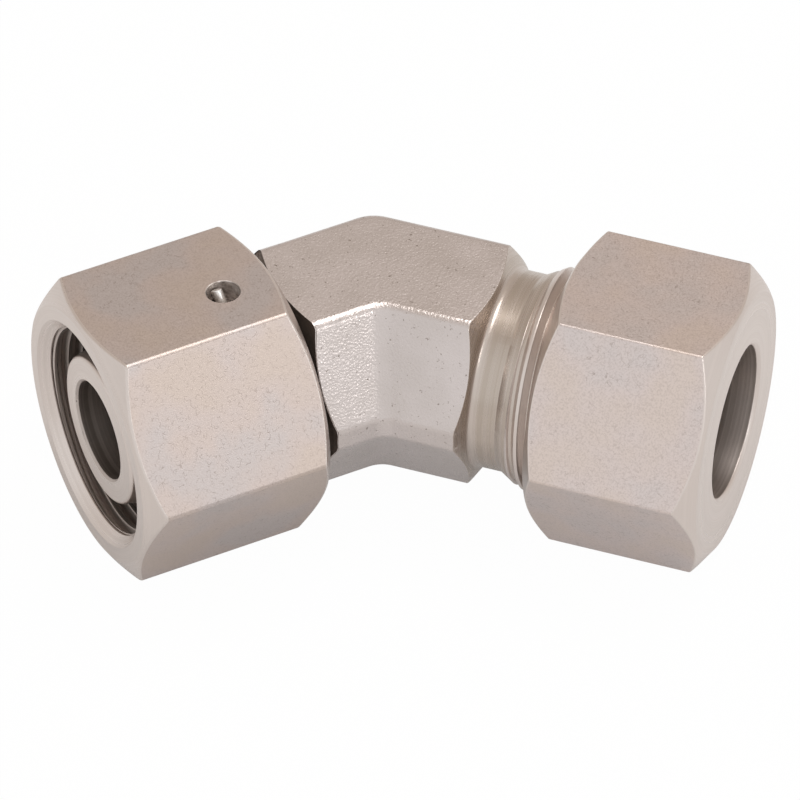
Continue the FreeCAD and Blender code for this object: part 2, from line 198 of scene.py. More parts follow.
def add_range(tree: NodeTree, value: NodeSocket, start: float, end: float,
              least: float = 0.0, most: float = 1.0) -> NodeSocket:
    """Adds a ramp from least, where the value is start, to most, where it is end."""
    return add_node(tree, "ShaderNodeMapRange", {
        "Value": value, "From Min": start, "From Max": end,
        "To Min": least, "To Max": most}).outputs[0]


def add_mix(tree: NodeTree, share: NodeSocket, first: object, second: object) -> NodeSocket:
    """Adds a mix of two colours, in which the second one has the share."""
    return add_node(tree, "ShaderNodeMix", {"Factor": share, MIX_A: first, MIX_B: second},
                    data_type="RGBA").outputs[MIX_RESULT]


def add_math(tree: NodeTree, operation: str, first: object, second: object = 0.5) -> NodeSocket:
    """Adds one operation on numbers or sockets. Some operations only use the first."""
    return add_node(tree, "ShaderNodeMath", {0: first, 1: second},
                    operation=operation).outputs[0]


def add_bump(tree: NodeTree, height: NodeSocket, depth: float,
             under: NodeSocket | None = None) -> NodeSocket:
    """Adds a bump this many millimetres deep, over another one if that is given."""
    inputs = {"Height": height, "Distance": depth * MM}
    if under is not None:
        inputs["Normal"] = under
    return add_node(tree, "ShaderNodeBump", inputs).outputs[0]


def new_material(name: str) -> tuple[Material, NodeTree]:
    """Returns a new material and its emptied node tree."""
    material = bpy.data.materials.new(name)
    material.use_nodes = True
    material.node_tree.nodes.clear()
    return material, material.node_tree


def add_scratches(tree: NodeTree, place: NodeSocket, width: float, line: float) -> NodeSocket:
    """Adds short bent scratches, as the level lines of a noise that a second one breaks up.

    Args:
        tree: The tree that gets the nodes.
        place: The coordinates.
        width: Distance between scratches in millimetres.
        line: Half the noise's range that counts as a scratch.

    Returns:
        1 on a scratch and 0 elsewhere.
    """
    hills = add_noise(tree, place, width, detail=1.0)
    level = add_math(tree, "ABSOLUTE", add_math(tree, "SUBTRACT", hills, 0.5))
    on_line = add_range(tree, level, line, 0.0)
    gap_share = 0.8
    gap_fade = 0.04
    gaps = add_noise(tree, place, width * gap_share, detail=0.0)
    kept = add_range(tree, gaps, 0.5 - gap_fade, 0.5 + gap_fade)
    return add_math(tree, "MULTIPLY", on_line, kept)


def finish_metal(tree: NodeTree, colour: NodeSocket, noise: NodeSocket, roughness: float,
                 spread: float, normal: NodeSocket) -> None:
    """Adds the metal shader and the output.

    Args:
        tree: The tree that gets the nodes.
        colour: The colour.
        noise: The noise that the roughness follows.
        roughness: The middle roughness.
        spread: How far the roughness goes up and down.
        normal: The bumped normal.
    """
    rough = add_range(tree, noise, NOISE_LOW, NOISE_HIGH, roughness - spread, roughness + spread)
    shader = add_node(tree, "ShaderNodeBsdfPrincipled", {
        "Base Color": colour, "Metallic": 1.0, "Roughness": rough, "Normal": normal})
    add_node(tree, "ShaderNodeOutputMaterial", {"Surface": shader.outputs[0]})


@dataclass(frozen=True)
class ForgedSteel:
    """Stainless steel 1.4571, drop forged, shot blasted and pickled.

    Blasting leaves overlapping dents of a few tenths of a millimetre, so the dull grey sparkles
    where they catch the light, and pickling leaves it slightly warm and matt.
    """

    name: str = "ForgedStainless"
    colour: str = "#CDC4C1"
    shade: str = "#C6BDB9"
    pit_colour: str = "#91867F"
    roughness: float = 0.31
    dent_width: float = 0.33
    dent_depth: float = 0.029
    sand_width: float = 0.24
    sand_depth: float = 0.018
    swell_width: float = 7.0
    pit_width: float = 0.45
    pit_rim: float = 0.325
    pit_floor: float = 0.26
    rough_spread: float = 0.05

    def build(self) -> Material:
        """Makes the material."""
        material, tree = new_material(self.name)
        place = add_node(tree, "ShaderNodeTexCoord").outputs["Object"]
        dents = add_node(tree, "ShaderNodeTexVoronoi", {
            "Vector": place, "Scale": 1 / (self.dent_width * MM)}).outputs["Distance"]
        sand, pits, swell = (add_noise(tree, place, width) for width in (
            self.sand_width, self.pit_width, self.swell_width))
        open_pit = add_range(tree, pits, self.pit_rim, self.pit_floor)
        light = add_range(tree, swell, SWELL_LOW, SWELL_HIGH)
        grey = add_mix(tree, light, linear(self.shade), linear(self.colour))
        colour = add_mix(tree, open_pit, grey, linear(self.pit_colour))
        cups = add_bump(tree, dents, self.dent_depth)
        normal = add_bump(tree, sand, self.sand_depth, under=cups)
        finish_metal(tree, colour, sand, self.roughness, self.rough_spread, normal)
        return material


@dataclass(frozen=True)
class NutSteel:
    """Stainless hexagon bar, drawn, then pickled with the finished nut.

    Drawing leaves it smooth, handling leaves short fine scratches, and pickling opens a dense
    speckle and leaves faint warm and cool patches.
    """

    name: str = "DrawnStainless"
    colour: str = "#D4C7C2"
    warm: str = "#D4C6BE"
    cool: str = "#D0C6C3"
    scratch_colour: str = "#8A7B71"
    roughness: float = 0.34
    speckle_width: float = 0.24
    speckle_depth: float = 0.012
    patch_width: float = 10.0
    patch_middle: float = 0.5
    patch_reach: float = 0.12
    scratch_width: float = 0.8
    scratch_line: float = 0.026
    scratch_depth: float = 0.006
    scratch_most: float = 0.60
    scratch_least: float = 0.25
    point_rim: float = 0.56
    point_floor: float = 0.30
    point_share: float = 0.26
    rough_spread: float = 0.05

    def build(self) -> Material:
        """Makes the material."""
        material, tree = new_material(self.name)
        place = add_node(tree, "ShaderNodeTexCoord").outputs["Object"]
        speckle = add_noise(tree, place, self.speckle_width)
        patches = add_noise(tree, place, self.patch_width)
        coolest = self.patch_middle - self.patch_reach
        warmest = self.patch_middle + self.patch_reach
        warm = add_range(tree, patches, self.patch_middle, warmest)
        cool = add_range(tree, patches, self.patch_middle, coolest)
        warmed = add_mix(tree, warm, linear(self.colour), linear(self.warm))
        grey = add_mix(tree, cool, warmed, linear(self.cool))
        scratches = add_scratches(tree, place, self.scratch_width, self.scratch_line)
        handled = add_range(tree, patches, coolest, warmest,
                            self.scratch_most, self.scratch_least)
        dark = add_math(tree, "MULTIPLY", scratches, handled)
        points = add_range(tree, speckle, self.point_rim, self.point_floor,
                           most=self.point_share)
        marks = add_math(tree, "MAXIMUM", dark, points)
        colour = add_mix(tree, marks, grey, linear(self.scratch_colour))
        grooves = add_bump(tree, add_math(tree, "SUBTRACT", 1.0, scratches), self.scratch_depth)
        normal = add_bump(tree, speckle, self.speckle_depth, under=grooves)
        finish_metal(tree, colour, speckle, self.roughness, self.rough_spread, normal)
        return material


@dataclass(frozen=True)
class TurnedSteel:
    """Stainless steel as it leaves the lathe, then pickled.

    The tool leaves rings about the leg's axis, a tenth of a millimetre and more apart, which
    draw the highlights out along the leg. Bored walls are rougher and streakier than faces.

    Args:
        leg: The leg whose axis the rings go round.
        name: The material's name.
        colour: The lightest bands.
        shade: The darkest bands.
        roughness: The middle roughness.
        ring_width: Distance between rings in millimetres.
        ring_depth: Depth of a ring in millimetres.
        band_width: Width of the light and dark bands in millimetres.
        rough_spread: How far the roughness goes up and down from ring to ring.
    """

    leg: Leg
    name: str = "TurnedStainless"
    colour: str = "#D0C5BF"
    shade: str = "#CCC1BB"
    roughness: float = 0.33
    ring_width: float = 0.24
    ring_depth: float = 0.002
    band_width: float = 0.8
    rough_spread: float = 0.06

    def build(self) -> Material:
        """Makes the material."""
        material, tree = new_material(self.name)
        place = add_node(tree, "ShaderNodeTexCoord").outputs["Object"]
        moved = add_node(tree, "ShaderNodeMapping", {
            "Vector": place, "Location": (self.leg.tube_stop * MM, 0, 0)})
        turned = add_node(tree, "ShaderNodeMapping", {
            "Vector": moved.outputs[0],
            "Rotation": (0, 0, -math.radians(self.leg.turn))})
        parts = add_node(tree, "ShaderNodeSeparateXYZ", {"Vector": turned.outputs[0]})
        across = add_node(tree, "ShaderNodeCombineXYZ", {
            "Y": parts.outputs["Y"], "Z": parts.outputs["Z"]})
        radius = add_node(tree, "ShaderNodeVectorMath", {0: across.outputs[0]},
                          operation="LENGTH").outputs["Value"]
        profile = add_node(tree, "ShaderNodeCombineXYZ", {
            "X": parts.outputs["X"], "Y": radius}).outputs[0]
        rings = add_noise(tree, profile, self.ring_width, detail=1.0)
        bands = add_noise(tree, profile, self.band_width)
        light = add_range(tree, bands, SWELL_LOW, SWELL_HIGH)
        colour = add_mix(tree, light, linear(self.shade), linear(self.colour))
        normal = add_bump(tree, rings, self.ring_depth)
        finish_metal(tree, colour, rings, self.roughness, self.rough_spread, normal)
        return material


@dataclass(frozen=True)
class SpringWire:
    """Drawn stainless spring wire, bright, with faint lines along it."""

    name: str = "DrawnWire"
    colour: str = "#E9E5E1"
    roughness: float = 0.36
    mark_width: float = 0.5
    rough_spread: float = 0.1

    def build(self) -> Material:
        """Makes the material."""
        material, tree = new_material(self.name)
        place = add_node(tree, "ShaderNodeTexCoord").outputs["Object"]
        marks = add_noise(tree, place, self.mark_width)
        rough = add_range(tree, marks, 0.0, 1.0, self.roughness - self.rough_spread,
                          self.roughness + self.rough_spread)
        shader = add_node(tree, "ShaderNodeBsdfPrincipled", {
            "Base Color": linear(self.colour), "Metallic": 1.0, "Roughness": rough})
        add_node(tree, "ShaderNodeOutputMaterial", {"Surface": shader.outputs[0]})
        return material


@dataclass(frozen=True)
class SealRubber:
    """Moulded fluorocarbon rubber, black with a soft satin skin."""

    name: str = "MouldedSeal"
    colour: str = "#1B1B1C"
    roughness: float = 0.5
    skin_width: float = 0.15
    skin_depth: float = 0.004

    def build(self) -> Material:
        """Makes the material."""
        material, tree = new_material(self.name)
        place = add_node(tree, "ShaderNodeTexCoord").outputs["Object"]
        skin = add_noise(tree, place, self.skin_width)
        shader = add_node(tree, "ShaderNodeBsdfPrincipled", {
            "Base Color": linear(self.colour), "Roughness": self.roughness,
            "Normal": add_bump(tree, skin, self.skin_depth)})
        add_node(tree, "ShaderNodeOutputMaterial", {"Surface": shader.outputs[0]})
        return material


def lathe(outline: Outline, closed: bool = True, steps: int = 144) -> BMesh:
    """Spins an outline about the leg's axis.

    Args:
        outline: Points of (distance along the leg, radius).
        closed: Whether the outline's last point joins its first. Otherwise both are on the axis.
        steps: Number of steps round.

    Returns:
        The closed mesh, with its faces outwards.
    """
    mesh = bmesh.new()
    points = [mesh.verts.new((along, radius, 0)) for along, radius in outline]
    pairs = list(zip(points, points[1:]))
    if closed:
        pairs.append((points[-1], points[0]))
    edges = [mesh.edges.new(pair) for pair in pairs]
    bmesh.ops.spin(mesh, geom=points + edges, cent=(0, 0, 0), axis=(1, 0, 0),
                   angle=math.tau, steps=steps, use_merge=True)
    bmesh.ops.remove_doubles(mesh, verts=mesh.verts, dist=1e-4)
    bmesh.ops.recalc_face_normals(mesh, faces=mesh.faces)
    return mesh


def round_corner(before: tuple[float, float], corner: tuple[float, float],
                 after: tuple[float, float], radius: float, steps: int = 4) -> Outline:
    """Gives the points of a small arc in place of one corner of an outline.

    Args:
        before: The point before the corner.
        corner: The corner.
        after: The point after the corner.
        radius: The arc's radius.
        steps: Number of steps on the arc.

    Returns:
        Points from the side of before to the side of after.
    """
    middle = Vector(corner)
    back = (Vector(before) - middle).normalized()
    onward = (Vector(after) - middle).normalized()
    half = back.angle(onward) / 2
    centre = middle + (back + onward).normalized() * radius / math.sin(half)
    start = middle + back * radius / math.tan(half) - centre
    finish = middle + onward * radius / math.tan(half) - centre
    arc = [start.slerp(finish, step / steps) for step in range(steps + 1)]
    return [tuple(centre + spoke.normalized() * radius) for spoke in arc]


def wire_channel(along: float, radius: float, depth: float, outwards: int) -> Outline:
    """Gives the half-round channel of the retaining wire in a turned wall.

    Args:
        along: Where the channel's middle is.
        radius: The wall's radius.
        depth: The channel's own radius.
        outwards: 1 when the channel lies outside the wall's radius, and -1 inside it.

    Returns:
        Points from the bend outwards.
    """
    steps = 6
    angles = [math.pi * step / steps for step in range(steps + 1)]
    return [(along - depth * math.cos(angle), radius + outwards * depth * math.sin(angle))
            for angle in angles]


def of_kind(kind: type, items: list) -> list:
    """Returns the items of one kind."""
    return [item for item in items if isinstance(item, kind)]


def slice_mesh(mesh: BMesh, point: tuple | Vector, outward: tuple | Vector,
               clear: bool = False, reach: float = 1e-4) -> list[BMEdge]:
    """Adds edges where a plane meets a mesh.

    Args:
        mesh: The mesh.
        point: A point of the plane.
        outward: The plane's normal.
        clear: Whether what lies beyond the plane is taken away.
        reach: How near a point has to be to count as on the plane.

    Returns:
        The edges on the plane.
    """
    cut = bmesh.ops.bisect_plane(mesh, geom=mesh.verts[:] + mesh.edges[:] + mesh.faces[:],
                                 dist=reach, plane_co=point, plane_no=outward,
                                 clear_outer=clear)
    return of_kind(BMEdge, cut["geom_cut"])


def soften(mesh: BMesh, edges: list[BMEdge], width: float, segments: int = 3) -> None:
    """Rounds edges by the width that is taken off each side."""
    bmesh.ops.bevel(mesh, geom=edges, offset=width, offset_type="OFFSET", segments=segments,
                    profile=0.5, affect="EDGES", material=-1, clamp_overlap=True)


def temporary(mesh: BMesh, name: str) -> Object:
    """Makes an object of a mesh for one operation, with empty material slots."""
    data = bpy.data.meshes.new(name)
    mesh.to_mesh(data)
    for _ in BodyFace:
        data.materials.append(None)
    item = bpy.data.objects.new(name, data)
    bpy.context.scene.collection.objects.link(item)
    return item


def drill(mesh: BMesh, cutters: list[BMesh]) -> BMesh:
    """Cuts holes in a closed mesh.

    Args:
        mesh: The closed mesh.
        cutters: Closed meshes of what is cut away.

    Returns:
        A new mesh. Both given kinds of mesh are freed.
    """
    blank = temporary(mesh, "blank")
    tools = [temporary(cutter, "tool") for cutter in cutters]
    for tool in tools:
        cut = blank.modifiers.new("Drill", "BOOLEAN")
        cut.operation = "DIFFERENCE"
        cut.solver = "EXACT"
        cut.object = tool
    shape = blank.evaluated_get(bpy.context.evaluated_depsgraph_get()).to_mesh()
    result = bmesh.new()
    result.from_mesh(shape)
    for item in [blank] + tools:
        data = item.data
        bpy.data.objects.remove(item)
        bpy.data.meshes.remove(data)
    for spent in [mesh] + cutters:
        spent.free()
    return result


def join(mesh: BMesh, other: BMesh) -> None:
    """Adds another mesh to a mesh and frees it."""
    data = bpy.data.meshes.new("joined")
    other.to_mesh(data)
    mesh.from_mesh(data)
    bpy.data.meshes.remove(data)
    other.free()


def finish_piece(mesh: BMesh, name: str, place: Matrix,
                 materials: list[Material], sharp: float = 32.0) -> Object:
    """Makes the finished object of a mesh, at the origin, unturned and unscaled.

    Args:
        mesh: The mesh, which is freed.
        name: The piece's name.
        place: The matrix from the mesh to the frame.
        materials: The materials, by slot.
        sharp: Edges that turn by more degrees than this are shaded sharp.

    Returns:
        The object.
    """
    for edge in mesh.edges:
        edge.smooth = edge.calc_face_angle(0.0) < math.radians(sharp)
    for face in mesh.faces:
        face.smooth = True
    mesh.transform(place)
    data = bpy.data.meshes.new(name)
    mesh.to_mesh(data)
    mesh.free()
    for material in materials:
        data.materials.append(material)
    item = bpy.data.objects.new(name, data)
    bpy.context.scene.collection.objects.link(item)
    level = item.modifiers.new("Flats", "WEIGHTED_NORMAL")
    level.keep_sharp = True
    LOG.info("%s: %d faces", name, len(data.polygons))
    return item


@dataclass(frozen=True)
class Ridge:
    """The helical ridge of a right-hand thread, as a closed mesh with its foot in the wall.

    Args:
        start: Where the ridge's middle starts along the leg.
        end: Where it ends.
        phase: Where its middle stands along the leg at the leg's own Y axis.
        foot: Radius of the foot.
        crest: Radius of the crest.
        foot_width: Width at the foot.
        crest_width: Width at the crest.
        limit: Gives the radius at which other turned forms cut the ridge.
        first: The ridge is cut off square before this place.
        last: The ridge is cut off square after this place.
        slot: The ridge's material slot.
        pitch: Distance between crests.
        rounding: Radius of the crest's corners.
        flank_cuts: Cuts across each flank, so that other turned forms can cut it.
        steps: Number of steps in one turn.
    """

    start: float
    end: float
    phase: float
    foot: float
    crest: float
    foot_width: float
    crest_width: float
    limit: Callable[[float], float]
    first: float
    last: float
    slot: int
    pitch: float = 2.0
    rounding: float = 0.07
    flank_cuts: int = 5
    steps: int = 96

    def build(self) -> BMesh:
        """Makes the ridge along its leg."""
        mesh = bmesh.new()
        sides = [(-self.foot_width / 2, self.foot), (-self.crest_width / 2, self.crest),
                 (self.crest_width / 2, self.crest), (self.foot_width / 2, self.foot)]
        profile = [sides[0]] + round_corner(*sides[:3], self.rounding, 2)
        profile += round_corner(*sides[1:], self.rounding, 2) + [sides[3]]
        points = [mesh.verts.new((self.start + along, radius, 0)) for along, radius in profile]
        for pair in zip(points, points[1:] + points[:1]):
            mesh.edges.new(pair)
        flanks = [edge for edge in mesh.edges if edge.calc_length() > self.rounding * 3]
        bmesh.ops.subdivide_edges(mesh, edges=flanks, cuts=self.flank_cuts)
        angle = math.tau * (self.start - self.phase) / self.pitch
        bmesh.ops.rotate(mesh, verts=mesh.verts, cent=(0, 0, 0),
                         matrix=Matrix.Rotation(angle, 3, "X"))
        turns = (self.end - self.start) / self.pitch
        steps = round(turns * self.steps)
        tail = mesh.edges[:]
        made = bmesh.ops.spin(mesh, geom=mesh.verts[:] + tail, cent=(0, 0, 0),
                              axis=(1, 0, 0), angle=math.tau * turns, steps=steps,
                              dvec=(self.pitch * turns / steps, 0, 0))
        for end in (tail, of_kind(BMEdge, made["geom_last"])):
            bmesh.ops.edgeloop_fill(mesh, edges=end)
        inward = self.crest < self.foot
        for point in mesh.verts:
            radius = math.hypot(point.co.y, point.co.z)
            bound = self.limit(point.co.x)
            wanted = max(radius, bound) if inward else min(radius, bound)
            point.co.y *= wanted / radius
            point.co.z *= wanted / radius
        for place, outward in ((self.first, -1), (self.last, 1)):
            rim = slice_mesh(mesh, (place, 0, 0), (outward, 0, 0), clear=True, reach=1e-5)
            bmesh.ops.holes_fill(mesh, edges=rim, sides=0)
        bmesh.ops.recalc_face_normals(mesh, faces=mesh.faces)
        for face in mesh.faces:
            face.material_index = self.slot
        return mesh


@dataclass
class HexNut:
    """A hexagon nut, turned from bar and milled on six sides.

    Sizes are in millimetres along the leg. The thread's own ridge is joined to the nut.

    Args:
        name: The piece's name.
        node: The CAD node that the piece replaces.
        body: The body that it rides on.
        leg: Its leg, with its lean.
        rear: Its face towards the bend.
        front: Its face away from the bend.
        materials: Its materials, by NutFace.
    """

    name: str
    node: str
    body: Body
    leg: Leg
    rear: float
    front: float
    materials: list[Material]
    flats: float = 36.0
    face: float = 34.8
    front_angle: float = 30.0
    spare: float = 0.6
    corner_width: float = 0.30
    rim_width: float = 0.28
    edge_width: float = 0.10
    corner_bend: float = 40.0
    rim_bend: float = 28.0
    thread: float = 15.02
    bite: float = 0.05
    sink_play: float = 0.004
    sink_radius: float = 15.5
    sink_end_radius: float = 14.15
    sink_depth: float = 1.85

    def outside(self) -> Outline:
        """Returns the blank's outside, from the front face to the rear face."""
        blank = self.flats / 2 / COS_30 + self.spare
        drop = blank - self.face / 2
        return [(self.front, self.face / 2),
                (self.front - drop * math.tan(math.radians(self.front_angle)), blank),
                (self.rear + drop * TAN_30, blank), (self.rear, self.face / 2)]

    def inside(self) -> Outline:
        """Returns the bore, from the rear face to the front face."""
        raise NotImplementedError

    def sink(self, depth: float) -> float:
        """Returns the radius of the countersink at a depth below its face."""
        slope = (self.sink_radius - self.sink_end_radius) / self.sink_depth
        return self.sink_radius - slope * depth

    def mill(self, mesh: BMesh) -> None:
        """Cuts the six flats, the first of them above."""
        for side in range(6):
            angle = math.radians(60 * side)
            outward = Vector((0, -math.sin(angle), math.cos(angle)))
            rim = slice_mesh(mesh, outward * self.flats / 2, outward, clear=True)
            bmesh.ops.edgeloop_fill(mesh, edges=rim)

    def is_flat(self, face: BMFace) -> bool:
        """Tells whether a face belongs to the milled outside."""
        middle = face.calc_center_median()
        lean = 0.05
        return abs(face.normal.x) < lean and math.hypot(middle.y, middle.z) > self.face / 2

    def finish_of(self, face: BMFace) -> NutFace:
        """Returns a face's material slot."""
        if self.is_flat(face):
            return NutFace.FLAT
        middle = face.calc_center_median()
        lean = 0.1
        bored = math.hypot(middle.y, middle.z) < self.sink_radius and abs(face.normal.x) < lean
        return NutFace.BORED if bored else NutFace.TURNED

    def rims(self, mesh: BMesh, outer: bool) -> list[BMEdge]:
        """Returns the sharp edges of the flats, or else those of the turned faces."""
        return [edge for edge in mesh.edges
                if edge.calc_face_angle(0.0) > math.radians(self.rim_bend)
                and any(map(self.is_flat, edge.link_faces)) == outer]

    def blunt(self, mesh: BMesh) -> None:
        """Rounds the long corners, then the edges of the flats and the faces."""
        mesh.normal_update()
        corners = [edge for edge in mesh.edges if all(map(self.is_flat, edge.link_faces))
                   and edge.calc_face_angle(0.0) > math.radians(self.corner_bend)]
        soften(mesh, corners, self.corner_width)
        mesh.normal_update()
        soften(mesh, self.rims(mesh, outer=False), self.edge_width, segments=2)
        mesh.normal_update()
        soften(mesh, self.rims(mesh, outer=True), self.rim_width)
        mesh.normal_update()
        for face in mesh.faces:
            face.material_index = self.finish_of(face)

    def ridges(self) -> list[Ridge]:
        """Returns the ridges of the thread."""
        return []

    def cutters(self) -> list[BMesh]:
        """Returns what is drilled out of the milled nut."""
        return []

    def build(self) -> Object:
        """Makes the nut and gives it its place in the frame."""
        mesh = lathe(self.outside() + self.inside())
        self.mill(mesh)
        self.blunt(mesh)
        tools = self.cutters()
        if tools:
            mesh = drill(mesh, tools)
        mesh.transform(Matrix.Rotation(math.radians(self.leg.lean), 4, "X"))
        for ridge in self.ridges():
            join(mesh, ridge.build())
        piece = finish_piece(mesh, self.name, Leg(turn=self.leg.turn).matrix(), self.materials)
        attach(piece, self.body.value)
        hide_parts(self.node)
        return piece


@dataclass
class SwivelNut(HexNut):
    """The captive nut, with the hole through which its retaining wire was fed."""

    collar_bore: float = 14.95
    collar_step: float = 0.1
    thread_start: float = 26.6
    wire_place: float = 22.3
    channel: float = 0.83
    hole_radius: float = 2.25
    hole_offset: float = 2.4
    hole_edge: float = 0.08
    sink_depth: float = 1.3
    lip_width: float = 0.2
    lip_back: float = 0.6
    corner_width: float = 0.45

    def inside(self) -> Outline:
        """Returns the collar bore with the wire's channel, the thread's wall and the sink."""
        channel = wire_channel(self.wire_place, self.collar_bore, self.channel, outwards=1)
        mouth = self.sink_radius - self.collar_bore
        lip = self.front - self.sink_depth
        return [(self.rear, self.sink_radius), (self.rear + mouth, self.collar_bore)] + channel + [
            (self.thread_start, self.collar_bore),
            (self.thread_start + self.collar_step, self.thread),
            (lip - self.lip_back, self.thread), (lip - self.lip_width, self.sink_end_radius),
            (lip, self.sink_end_radius), (self.front, self.sink_radius)]

    def cutters(self) -> list[BMesh]:
        """Returns the drill for the feed hole, with its blunted mouth."""
        top = self.flats / 2
        reach = 2.0
        bit = lathe([(top + reach, 0), (top + reach, self.hole_radius + self.hole_edge),
                     (top, self.hole_radius + self.hole_edge),
                     (top - self.hole_edge, self.hole_radius),
                     (self.collar_bore - reach, self.hole_radius),
                     (self.collar_bore - reach, 0)], closed=False, steps=64)
        bit.transform(Matrix.Rotation(-math.pi / 2, 4, "Y"))
        bit.transform(Matrix.Translation((self.wire_place, self.hole_offset, 0)))
        bmesh.ops.recalc_face_normals(bit, faces=bit.faces)
        for face in bit.faces:
            face.material_index = NutFace.DRILLED
        return [bit]

    def ridges(self) -> list[Ridge]:
        """Returns the inside thread, which ends behind the countersink's lip."""
        return [Ridge(start=self.thread_start + 1.2, end=self.front + 0.9, phase=0.6,
                      foot=self.thread + self.bite, crest=13.9, foot_width=1.72,
                      crest_width=0.56,
                      limit=lambda along: self.sink(self.front - along) + self.sink_play,
                      first=self.thread_start + 0.3,
                      last=self.front - self.sink_depth - 0.3, slot=NutFace.BORED)]


@dataclass
class UnionNut(HexNut):
    """The nut that presses the cutting ring, with its 45 degree seat and tube bore."""

    thread_end: float = 38.8
    seat_radius: float = 13.5
    seat_start: float = 39.357
    bore: float = 10.2
    bore_mouth: float = 0.4

    def inside(self) -> Outline:
        """Returns the countersink, the thread's wall, the seat and the tube bore."""
        root = (self.sink_radius - self.thread) * self.sink_depth / (
            self.sink_radius - self.sink_end_radius)
        return [(self.rear, self.sink_radius), (self.rear + root, self.thread),
                (self.thread_end, self.thread), (self.thread_end, self.seat_radius),
                (self.seat_start, self.seat_radius),
                (self.seat_start + self.seat_radius - self.bore, self.bore),
                (self.front - self.bore_mouth, self.bore),
                (self.front, self.bore + self.bore_mouth)]

    def ridges(self) -> list[Ridge]:
        """Returns the inside thread, in the grooves of the spigot's thread."""
        return [Ridge(start=self.rear - 0.9, end=self.thread_end - 1.0,
                      phase=SPIGOT_PHASE + 1.0, foot=self.thread + self.bite, crest=13.95,
                      foot_width=1.36, crest_width=0.14,
                      limit=lambda along: self.sink(along - self.rear) + self.sink_play,
                      first=self.rear + 0.64, last=self.thread_end - 0.5,
                      slot=NutFace.BORED)]


@dataclass
class RetainingWire:
    """The sprung wire in its channel: most of a ring, with its end bent up in the feed hole.

    Args:
        material: Its material.
        along: Where it lies along the leg.
        ring: Radius of the ring's centre line.
        thickness: The wire's own diameter.
        sweep: Degrees of the ring.
        start: Degrees from the top at which the bend starts.
        bend: Radius of the bend's centre line.
        rise: Degrees of the bend.
        tail: Length of the straight tail.
        tail_lean: How far the tail's tip leans towards the mouth.
        end_edge: Rounding of the cut ends.
    """

    material: Material
    along: float = 22.3
    ring: float = 14.925
    thickness: float = 1.5
    sweep: float = 328.0
    start: float = 13.6
    bend: float = 1.5
    rise: float = 45.0
    tail: float = 2.8
    tail_lean: float = 0.4
    end_edge: float = 0.12

    def build(self) -> Object:
        """Makes the wire and gives it its place in the frame."""
        mesh = bmesh.new()
        bmesh.ops.create_circle(mesh, segments=24, radius=self.thickness / 2)
        bmesh.ops.rotate(mesh, verts=mesh.verts, cent=(0, 0, 0),
                         matrix=Matrix.Rotation(math.pi / 2, 3, "X"))
        bmesh.ops.translate(mesh, verts=mesh.verts, vec=(self.along, 0, self.ring))
        free_end = math.radians(360 - self.sweep - self.start)
        bmesh.ops.rotate(mesh, verts=mesh.verts, cent=(0, 0, 0),
                         matrix=Matrix.Rotation(free_end, 3, "X"))
        ends = [mesh.edges[:]]
        start = math.radians(self.start)
        centre = Vector((0, math.sin(start), math.cos(start))) * (self.ring + self.bend)
        for pivot, turn, steps in ((Vector(), self.sweep, 120), (centre, -self.rise, 8)):
            made = bmesh.ops.spin(mesh, geom=ends[-1], cent=pivot, axis=(1, 0, 0),
                                  angle=math.radians(turn), steps=steps)
            ends.append(of_kind(BMEdge, made["geom_last"]))
        slope = start + math.radians(self.rise)
        made = bmesh.ops.extrude_edge_only(mesh, edges=ends[-1])["geom"]
        moved = of_kind(BMVert, made)
        bmesh.ops.translate(mesh, verts=moved, vec=(
            self.tail_lean, -math.cos(slope) * self.tail, math.sin(slope) * self.tail))
        tip = [edge for edge in of_kind(BMEdge, made)
               if all(point in moved for point in edge.verts)]
        for rim in (ends[0], tip):
            bmesh.ops.edgeloop_fill(mesh, edges=rim)
        bmesh.ops.recalc_face_normals(mesh, faces=mesh.faces)
        soften(mesh, ends[0] + tip, self.end_edge, segments=2)
        mesh.transform(Matrix.Rotation(math.radians(NUT_TURN), 4, "X"))
        piece = finish_piece(mesh, "retaining_wire_bent", SWIVEL_LEG.matrix(), [self.material])
        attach(piece, Body.SWIVEL.value)
        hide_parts("retaining_wire")
        return piece


